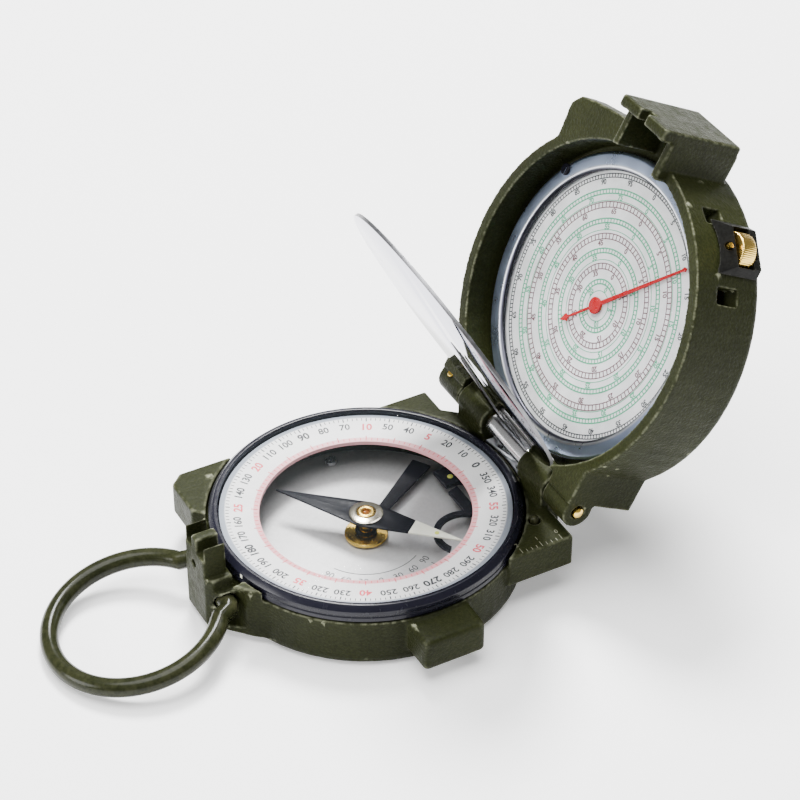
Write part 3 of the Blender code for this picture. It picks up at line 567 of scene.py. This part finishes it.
def build_base():
    casting("base_casting", "base_body", "base", OLIVE)
    repaint(("dial_plate_screw_1", "dial_plate_screw_2", "dial_plate_screw_3", "pivot_tip",
             "leaf_rivet_1", "leaf_rivet_2", "bezel_snap_wire"), STEEL)
    bevelled_copy("friction_spring", "friction_leaf", "base", LEAF, 0.08 * MM)
    bevelled_copy("sight_index_block", "index_block", "base", LEVER_BLACK)
    plate = lathe("dial_floor", disc_profile(24.6 * MM, 4.3 * MM, FLOOR_TOP, 0.1 * MM))
    floor_plate = piece("dial_floor", plate, FLOOR_METAL, "base")
    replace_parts(floor_plate, "dial_plate")
    flange = in_mm([(0.0, 8.6), (0.8, 8.6), (1.0, 8.4), (1.0, 6.4), (1.3, 6.2), (3.7, 6.2), (3.93, 6.0),
                    (3.93, 5.6), (3.7, 5.4), (0.0, 5.4)])
    made = piece("brass_flange", lathe("brass_flange", flange, 96), BRASS, "base")
    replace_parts(made, "pivot_flange")
    dot = piece("index_dot", lathe("index_dot", disc_profile(0.55 * MM, 8.2 * MM, 8.36 * MM, 0.08 * MM), 32),
                LUME, "base", Matrix.Translation((19.5 * MM, 4.1 * MM, 0.0)))


def build_hinge_pin():
    """Brass pin with slightly domed ends, and the brass head that shows on the far ear."""
    low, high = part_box("hinge_pin")
    radius = (high.x - low.x) / 2
    half = (high.y - low.y) / 2
    profile = [(0.0, half), (radius * 0.6, half - 0.1 * MM), (radius, half - 0.4 * MM)]
    profile += [(r, -z) for r, z in reversed(profile)]
    pin = piece("brass_hinge_pin", lathe("brass_hinge_pin", profile, 48), BRASS, "base",
                Matrix.Translation(HINGE) @ Matrix.Rotation(math.pi / 2, 4, "X"))
    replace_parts(pin, "hinge_pin")
    ear_r, ear_y, lean = 2.9 * MM, 19.9 * MM, math.radians(-31.0)
    head_r, head_high, rounding = 0.85 * MM, 0.55 * MM, 0.25 * MM
    head = lathe("ear_pin_head", disc_profile(head_r, ear_r, ear_r + head_high, rounding), 32)
    place = Matrix.Translation(HINGE + Vector((0.0, ear_y, 0.0))) @ Matrix.Rotation(lean, 4, "Y")
    piece("ear_pin_head", head, BRASS, "lid", place)


def build_wing_marks():
    """Short ruler graduations on the near wing."""
    top, start_x, edge_y, label_y = 11.95 * MM, 18.4 * MM, -24.1 * MM, -21.9 * MM
    ink = Ink("wing_ruler_marks", lambda radius: top)
    for index in range(9):
        length = (1.3 if index % 4 == 0 else 0.7) * MM
        place = Matrix.Translation((start_x + index * MM, edge_y + length / 2, top))
        ink.slab((0.12 * MM, length, PRINT), place)
    for index, label in enumerate(("2", "1", "0")):
        mesh = text_mesh(label, 1.3 * MM)
        mesh.transform(Matrix.Translation((start_x + 4 * index * MM, label_y, top)))
        ink.shape.from_mesh(mesh)
        bpy.data.meshes.remove(mesh)
    ink.finish(INK_ENGRAVED, "base")


def build_floor_print():
    """Clinometer graduations on the dial floor."""
    ink = Ink("floor_graduations", lambda radius: FLOOR_TOP + PRINT / 3)
    middle, span = math.radians(-105.0), math.radians(46.0)
    tick_outer, number_r = 15.4 * MM, 12.3 * MM
    for index in range(-18, 19):
        length = (1.7 if index % 6 == 0 else 1.0) * MM
        ink.tick(tick_outer - length, tick_outer, 0.16 * MM, middle + math.radians(index * 2.5))
    for index, label in enumerate(("90", "60", "30", "0", "30", "60", "90")):
        ink.number(label, 1.9 * MM, number_r, middle + math.radians((index - 3) * 15.0), facing=-1.0)
    for radius in (10.4 * MM, 15.6 * MM):
        points = arc(radius, middle - span, middle + span, 48)
        for first, last in zip(points, points[1:]):
            step = Vector(last) - Vector(first)
            place = (Matrix.Translation((*((Vector(first) + Vector(last)) / 2), FLOOR_TOP + PRINT / 3))
                     @ Matrix.Rotation(math.atan2(step.y, step.x), 4, "Z"))
            ink.slab((step.length * 1.05, 0.14 * MM, PRINT), place)
    ink.finish(INK_GREY, "base")


# --- Bezel and its scale -------------------------------------------------------------------------

def build_bezel():
    """Grooved black bezel with the graduated ring and the crystal."""
    rim = [(26.5, 13.1), (27.2, 13.1), (28.1, 12.2), (28.1, 11.25), (27.95, 11.15), (27.95, 10.95),
           (28.1, 10.85), (28.1, 10.0), (25.2, 10.0), (25.2, 9.3), (24.85, 9.3), (24.85, 7.75),
           (25.2, 7.75), (25.2, 7.6), (23.9, 7.6), (23.9, 10.2), (24.6, 10.9), (26.5, 10.9)]
    profile = softened(in_mm(rim), 0.12 * MM)
    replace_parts(piece("bezel", lathe("bezel", profile, 200), BEZEL_BLACK, "bezel"), "bezel_ring")
    scale = [(19.06, 11.5), (25.15, 12.18), (26.2, 12.05), (26.2, 11.2), (24.4, 11.2), (19.06, 10.7)]
    cone = lathe("graduated_ring", softened(in_mm(scale), 0.08 * MM), 200)
    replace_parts(piece("graduated_ring", cone, SCALE_PAINT, "bezel"), "scale_ring")
    crystal = lathe("crystal", disc_profile(26.2 * MM, 12.6 * MM, 13.0 * MM, 0.12 * MM), 160)
    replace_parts(piece("crystal", crystal, GLASS, "bezel"), "dial_crystal")
    # A small cream dash on the bezel's side near the end block.
    mark = Ink("bezel_cream_dash", lambda radius: 0.0)
    angle = math.radians(-168.0)
    place = Matrix.Rotation(angle, 4, "Z") @ Matrix.Translation((28.06 * MM, 0, 11.7 * MM))
    mark.slab((0.1 * MM, 0.55 * MM, 0.8 * MM), place)
    mark.finish(CREAM, "bezel")


def build_scale_print():
    """Black degrees outside and red hundreds of mils inside, on the cone of the ring."""
    offset = math.radians(2.2)
    black = Ink("degree_scale", scale_height)
    red = Ink("mil_scale", scale_height)
    black.ticks(24.45 * MM, 25.05 * MM, 0.14 * MM, 180, start=offset)
    black.ticks(24.25 * MM, 25.05 * MM, 0.21 * MM, 36, start=offset)
    for step in range(36):
        angle = offset + math.radians(step * 10)
        if step % 9 == 0:
            black.number(str(step * 10), 2.2 * MM, 22.95 * MM, angle, SCALE_SLOPE, weight=0.07 * MM)
        elif step % 3 == 0:
            red.number(str(step // 3 * 5), 2.2 * MM, 22.7 * MM, angle, SCALE_SLOPE, weight=0.06 * MM)
        else:
            black.number(str(step * 10), 2.0 * MM, 22.95 * MM, angle, SCALE_SLOPE, weight=0.04 * MM)
    red.ticks(19.3 * MM, 20.0 * MM, 0.13 * MM, 120, start=offset)
    red.ticks(19.3 * MM, 20.5 * MM, 0.17 * MM, 24, start=offset)
    black.finish(INK_BLACK, "bezel")
    red.finish(INK_RED, "bezel")


# --- Needle, clinometer and arrest ---------------------------------------------------------------

def needle_outline(start, end):
    """The needle's edge between two distances along it, on both sides."""
    tip, tail, half, shoulder = 18.7 * MM, 17.7 * MM, 3.25 * MM, 1.0 * MM

    def width(x):
        if x >= shoulder:
            return half * (tip - x) / (tip - shoulder)
        if x <= -shoulder:
            return half * (tail + x) / (tail - shoulder)
        return half

    stations = sorted({start, end, *[x for x in (-shoulder, shoulder) if start < x < end]})
    edge = [(x, max(width(x), 0.05 * MM)) for x in stations]
    return edge + [(x, -y) for x, y in reversed(edge)]


def hub_hole(radius):
    return arc(radius, 0.0, 2 * math.pi * 47 / 48, 47)


def build_needle():
    turn = Matrix.Rotation(NEEDLE_ANGLE, 4, "Z")
    low, high = NEEDLE_Z, NEEDLE_Z + 0.35 * MM
    split = 8.9 * MM
    outlines = [needle_outline(-17.7 * MM, split), hub_hole(2.3 * MM)]
    dark = sheet("needle_blade_dark", outlines, low, high, 0.05 * MM)
    blade = piece("needle_blade_dark", dark, SATIN_BLACK, "needle", turn)
    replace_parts(blade, "needle_blade")
    pale = sheet("needle_north_end", [needle_outline(split + 0.02 * MM, 18.6 * MM)], low, high, 0.05 * MM)
    piece("needle_north_end", pale, CREAM, "needle", turn)
    dot = lathe("needle_lume_dot", disc_profile(0.42 * MM, high - 0.02 * MM, high + 0.10 * MM, 0.05 * MM), 32)
    piece("needle_lume_dot", dot, LUME, "needle", turn @ Matrix.Translation((13.7 * MM, 0, 0)))
    dish = [(1.8, 10.85), (2.2, 10.75), (2.75, 10.75), (3.05, 10.62), (3.1, 10.45), (2.9, 10.4), (2.15, 10.4),
            (2.05, 9.5), (1.9, 9.4), (1.3, 9.2), (0.9, 9.4), (0.9, 10.2), (1.8, 10.3)]
    made = piece("hub_cap", lathe("hub_cap", in_mm(dish), 96), CAP_NICKEL, "needle")
    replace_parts(made, "needle_cap")
    boss = [(0.75, 10.95), (0.95, 11.1), (1.35, 11.1), (1.65, 10.95), (1.72, 10.6), (1.72, 10.35),
            (0.75, 10.3)]
    boss = softened(in_mm(boss), 0.08 * MM)
    piece("hub_boss", lathe("hub_boss", boss, 96), POLISHED_BRASS, "needle")
    jewel = [(0.0, 10.95), (0.3, 10.9), (0.6, 10.65), (0.6, 10.2), (0.0, 10.2)]
    made = piece("pivot_jewel", lathe("pivot_jewel", in_mm(jewel), 48), JEWEL, "needle")
    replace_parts(made, "needle_jewel")


def build_clinometer():
    bevelled_copy("clinometer_arm", "clinometer_pendulum", "clinometer", SATIN_BLACK, 0.06 * MM)


def build_arrest():
    """Needle-arrest lever with its smooth open loop, and the pin that the lid presses."""
    pivot = Vector(JOINTS["lever_tilt"]["pos_m"])
    low, high = pivot.z - 0.35 * MM, pivot.z + 0.35 * MM
    centre = (14.6 * MM, -10.6 * MM)
    outer = arc(5.9 * MM, math.radians(64), math.radians(212), 24, centre)
    inner = arc(4.7 * MM, math.radians(208), math.radians(62), 24, centre)
    root = in_mm([(17.4, -6.9), (19.4, -6.8), (19.4, 1.3), (17.2, 0.6)])
    lever = sheet("arrest_lever", [outer + inner + root], low, high, 0.06 * MM)
    made = piece("arrest_lever", lever, LEVER_BLACK, "needle_lever")
    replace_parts(made, "needle_lever")
    bevelled_copy("lock_pin", "needle_lock_pin", "lock_pin", OLIVE_WIRE, 0.05 * MM)


# --- Finger ring ---------------------------------------------------------------------------------

def build_finger_ring():
    """One smooth wire ring, its ends bent into the end block."""
    pivot = Vector(JOINTS["ring_swing"]["pos_m"])
    radius, reach, wire_r, slope = 15.25 * MM, 15.2 * MM, 1.7 * MM, math.radians(9.9)
    root_y, end_y = 8.4 * MM, 5.0 * MM
    opening = math.asin(root_y / radius)
    loop = [(x - reach, y, 0.0) for x, y in arc(radius, opening, 2 * math.pi - opening, 96)]
    bend = [(-0.5 * MM, root_y - 0.7 * MM, 0.0), (0.0, root_y - 1.7 * MM, 0.0), (0.0, end_y, 0.0)]
    points = [*reversed(bend), *loop, *[(x, -y, z) for x, y, z in bend]]
    curve = bpy.data.curves.new("ring_wire", "CURVE")
    curve.dimensions = "3D"
    curve.bevel_depth = wire_r
    curve.bevel_resolution = 6
    curve.use_fill_caps = True
    spline = curve.splines.new("POLY")
    spline.points.add(len(points) - 1)
    for point, position in zip(spline.points, points):
        point.co = (*position, 1.0)
    mesh = welded(curve_mesh("wire_ring", curve))
    place = Matrix.Translation(pivot) @ Matrix.Rotation(-slope, 4, "Y")
    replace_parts(piece("wire_ring", mesh, OLIVE_WIRE, "finger_ring", place, 50), "finger_ring")


# --- Mirror --------------------------------------------------------------------------------------

def build_mirror():
    """Slotted mirror plate with a dull rim, on a chrome barrel."""
    radius, centre, tab_y, tab_x = 27.6 * MM, 30.3 * MM, 6.0 * MM, 2.4 * MM
    meet = math.pi - math.asin(tab_y / radius)
    rim = arc(radius, -meet, meet, 180, (centre, 0.0))
    outline = [(tab_x, -tab_y), *rim, (tab_x, tab_y)]
    slot_r, slot_start, slot_end = 1.6 * MM, 6.5 * MM, 28.0 * MM
    slot = arc(slot_r, -math.pi / 2, math.pi / 2, 16, (slot_end, 0.0))
    slot += arc(slot_r, math.pi / 2, math.pi * 1.5, 16, (slot_start + slot_r, 0.0))
    mesh = sheet("sighting_mirror", [outline, slot], -1.25 * MM, -0.55 * MM, 0.12 * MM)
    plate = piece("sighting_mirror", mesh, SILVER, "mirror", MIRROR)
    plate.data.materials.append(MIRROR_RIM)
    across = MIRROR.col[2].xyz
    for face in plate.data.polygons:
        face.material_index = int(abs(face.normal.dot(across)) < 0.9)
    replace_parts(plate, "mirror_plate")
    profile = softened([(1.3 * MM, 6.25 * MM), (2.0 * MM, 6.25 * MM), (2.0 * MM, -6.25 * MM),
                        (1.3 * MM, -6.25 * MM)], 0.15 * MM)
    barrel = lathe("mirror_hinge_barrel", profile, 64)
    place = MIRROR @ Matrix.Rotation(math.pi / 2, 4, "X")
    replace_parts(piece("mirror_hinge_barrel", barrel, CHROME, "mirror", place), "mirror_barrel")


# --- Lid -----------------------------------------------------------------------------------------

def build_lid():
    casting("lid_casting", "lid_body", "lid", OLIVE)
    casting("wheel_guard", "wheel_bracket", "lid", BRACKET_BLACK, 0.12 * MM)
    """Lid casting, measuring wheel's guard, blue-grey ring, glass and dial."""
    ring = [(24.3, -1.9), (24.9, -1.5), (27.2, -1.5), (27.7, -1.9), (27.7, -3.4), (25.9, -3.4),
            (25.9, -2.6), (24.3, -2.6)]
    profile = softened(in_mm(ring), 0.2 * MM)
    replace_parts(piece("dial_bezel", lathe("dial_bezel", profile, 200), ANODISED, "lid", LID_DISC), "lid_ring")
    glass = lathe("lid_glass", disc_profile(24.0 * MM, -2.05 * MM, -1.65 * MM, 0.1 * MM), 160)
    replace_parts(piece("lid_glass", glass, GLASS, "lid", LID_DISC), "lid_crystal")
    dial = lathe("map_dial", rim_profile(1.2 * MM, 25.6 * MM, -3.6 * MM, LID_DIAL_TOP, 0.05 * MM), 160)
    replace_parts(piece("map_dial", dial, DIAL_WHITE, "lid", LID_DISC), "lid_dial")
    repaint(("movement_plate",), BRASS)
    bevelled_copy("ring_retaining_screw", "lid_ring_screw", "lid", SATIN_BLACK, 0.05 * MM)


def build_map_dial_print():
    """Eight concentric distance scales, dark and green in turn."""
    flat = lambda radius: LID_DIAL_TOP + PRINT / 3
    dark = Ink("map_scales_dark", flat)
    green = Ink("map_scales_green", flat)
    rose = Ink("map_scales_rose", flat)
    bands = [(23.2, 0.7, 200, dark, 20), (20.3, 0.8, 160, green, 16), (17.8, 1.0, 120, rose, 14),
             (15.0, 0.8, 120, green, 12), (12.1, 1.0, 84, rose, 10), (9.6, 0.8, 80, green, 8),
             (6.7, 1.0, 48, rose, 8), (4.0, 0.8, 36, green, 5)]
    for radius, width, count, ink, numbers in bands:
        inner, outer = radius * MM, (radius + width) * MM
        line = (0.26 if ink is green else 0.18) * MM
        ink.circle(inner, line)
        ink.circle(outer, line)
        ink.ticks(inner, outer, 0.20 * MM, count)
        if ink is green:
            ink.circle(inner - 1.25 * MM, 0.14 * MM)
        for index in range(numbers):
            angle = 2 * math.pi * index / numbers
            label = str((numbers - index) % numbers * 5)
            ink.number(label, 1.35 * MM, inner - 0.75 * MM, angle, weight=0.04 * MM)
            ink.tick(inner - 0.3 * MM, inner, 0.16 * MM, angle)
    for ink, material in ((dark, INK_GREY), (green, INK_GREEN), (rose, INK_ROSE)):
        ink.finish(material, "lid", LID_DISC)


def build_pointer():
    """Red pointer with a round hub and an arrowed tail."""
    angle = math.radians(-42.5)
    low, high = -2.65 * MM, -2.4 * MM
    outline = in_mm([(23.4, 0.0), (22.9, 0.45), (22.2, 0.22), (1.2, 0.42), (0.0, 0.6), (-1.2, 0.25),
                     (-7.3, 0.2), (-7.6, 0.75), (-9.4, 0.0)])
    outline += [(x, -y) for x, y in reversed(outline[1:-1])]
    made = piece("red_pointer", sheet("red_pointer", [outline], low, high, 0.03 * MM), POINTER_RED, "pointer",
                 LID_DISC @ Matrix.Rotation(angle, 4, "Z"))
    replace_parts(made, "pointer")
    hub = lathe("pointer_boss", disc_profile(1.55 * MM, low, high + 0.12 * MM, 0.12 * MM), 64)
    piece("pointer_boss", hub, POINTER_RED, "pointer", LID_DISC)
    bevelled_copy("pointer_wheel", "centre_gear", "pointer", BRASS, 0.03 * MM)


def build_map_wheel():
    """Polished brass wheel with a finely knurled edge."""
    axis = Vector(JOINTS["map_wheel_turn"]["pos_m"])
    local = LID.inverted() @ axis
    radius, low, high, flutes, groove = 3.42 * MM, -8.9 * MM, -5.7 * MM, 60, 0.05 * MM
    outline = [polar(radius - (groove if i % 4 in (2, 3) else 0.0), 2 * math.pi * i / (4 * flutes))
               for i in range(4 * flutes)]
    mesh = sheet("measuring_wheel", [outline, hub_hole(1.05 * MM)], low, high, 0.32 * MM)
    place = LID @ Matrix.Translation((local.x, local.y, 0.0))
    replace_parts(piece("measuring_wheel", mesh, POLISHED_BRASS, "map_wheel", place, 40), "map_wheel")
    repaint(("wheel_arbor", "idler_gear", "bracket_rivet"), BRASS)


# --- Stage ---------------------------------------------------------------------------------------

CAMERA_PLACE = Vector((-173.5 * MM, -338.9 * MM, 336.4 * MM))
CAMERA_AZIMUTH = math.radians(28.04)
CAMERA_DROP = math.radians(38.26)
CAMERA_ROLL = math.radians(-0.28)
CAMERA_LENS = 126.1
SENSOR = 36.0


def build_camera():
    data = bpy.data.cameras.new("camera")
    data.lens = CAMERA_LENS
    data.sensor_width = SENSOR
    data.clip_start = 0.01
    forward = Vector((math.sin(CAMERA_AZIMUTH) * math.cos(CAMERA_DROP),
                      math.cos(CAMERA_AZIMUTH) * math.cos(CAMERA_DROP), -math.sin(CAMERA_DROP)))
    level = Vector((math.cos(CAMERA_AZIMUTH), -math.sin(CAMERA_AZIMUTH), 0.0))
    rise = level.cross(forward)
    right = level * math.cos(CAMERA_ROLL) + rise * math.sin(CAMERA_ROLL)
    up = rise * math.cos(CAMERA_ROLL) - level * math.sin(CAMERA_ROLL)
    camera = bpy.data.objects.new("camera", data)
    facing = Matrix((right, up, -forward)).transposed().to_4x4()
    camera.matrix_world = Matrix.Translation(CAMERA_PLACE) @ facing
    bpy.context.scene.collection.objects.link(camera)
    bpy.context.scene.camera = camera


def area_light(name, place, aim, size, power):
    data = bpy.data.lights.new(name, "AREA")
    data.shape = "DISK"
    data.size = size
    data.energy = power
    light = bpy.data.objects.new(name, data)
    light.location = place
    light.rotation_euler = (Vector(aim) - Vector(place)).to_track_quat("-Z", "Y").to_euler()
    bpy.context.scene.collection.objects.link(light)


def build_stage():
    """Pale paper floor, an even grey-white surround and three soft lights."""
    disc = lathe("studio_floor", disc_profile(3.0, -12.0 * MM, -0.2 * MM, 1.0 * MM), 64)
    floor = bpy.data.objects.new("studio_floor", disc)
    material, tree, shader = new_material("studio_paper", grey(0.93), 0.8)
    surface(tree, shader, ramp(tree, noise(tree, 12.0), [(0.3, grey(0.94)), (0.7, grey(0.96))]))
    shader.inputs["Emission Color"].default_value = (*grey(1.0), 1.0)
    shader.inputs["Emission Strength"].default_value = FLOOR_GLOW
    floor.data.materials.append(material)
    bpy.context.scene.collection.objects.link(floor)
    world = bpy.data.worlds.new("studio")
    world.use_nodes = True
    world.node_tree.nodes["Background"].inputs["Color"].default_value = (*grey(1.0), 1.0)
    world.node_tree.nodes["Background"].inputs["Strength"].default_value = WORLD_GLOW
    bpy.context.scene.world = world
    aim = (0.0, 0.0, 0.02)
    area_light("key_light", (0.22, 0.42, 0.80), aim, 0.30, 24.0)
    area_light("left_light", (-0.90, 0.10, 0.30), aim, 0.5, 9.0)
    area_light("top_light", (-0.10, 0.00, 1.00), aim, 0.9, 20.0)


def build_all():
    build_camera()
    build_stage()
    build_base()
    build_hinge_pin()
    build_wing_marks()
    build_floor_print()
    build_bezel()
    build_scale_print()
    build_needle()
    build_clinometer()
    build_arrest()
    build_finger_ring()
    build_mirror()
    build_lid()
    build_map_dial_print()
    build_pointer()
    build_map_wheel()


build_all()
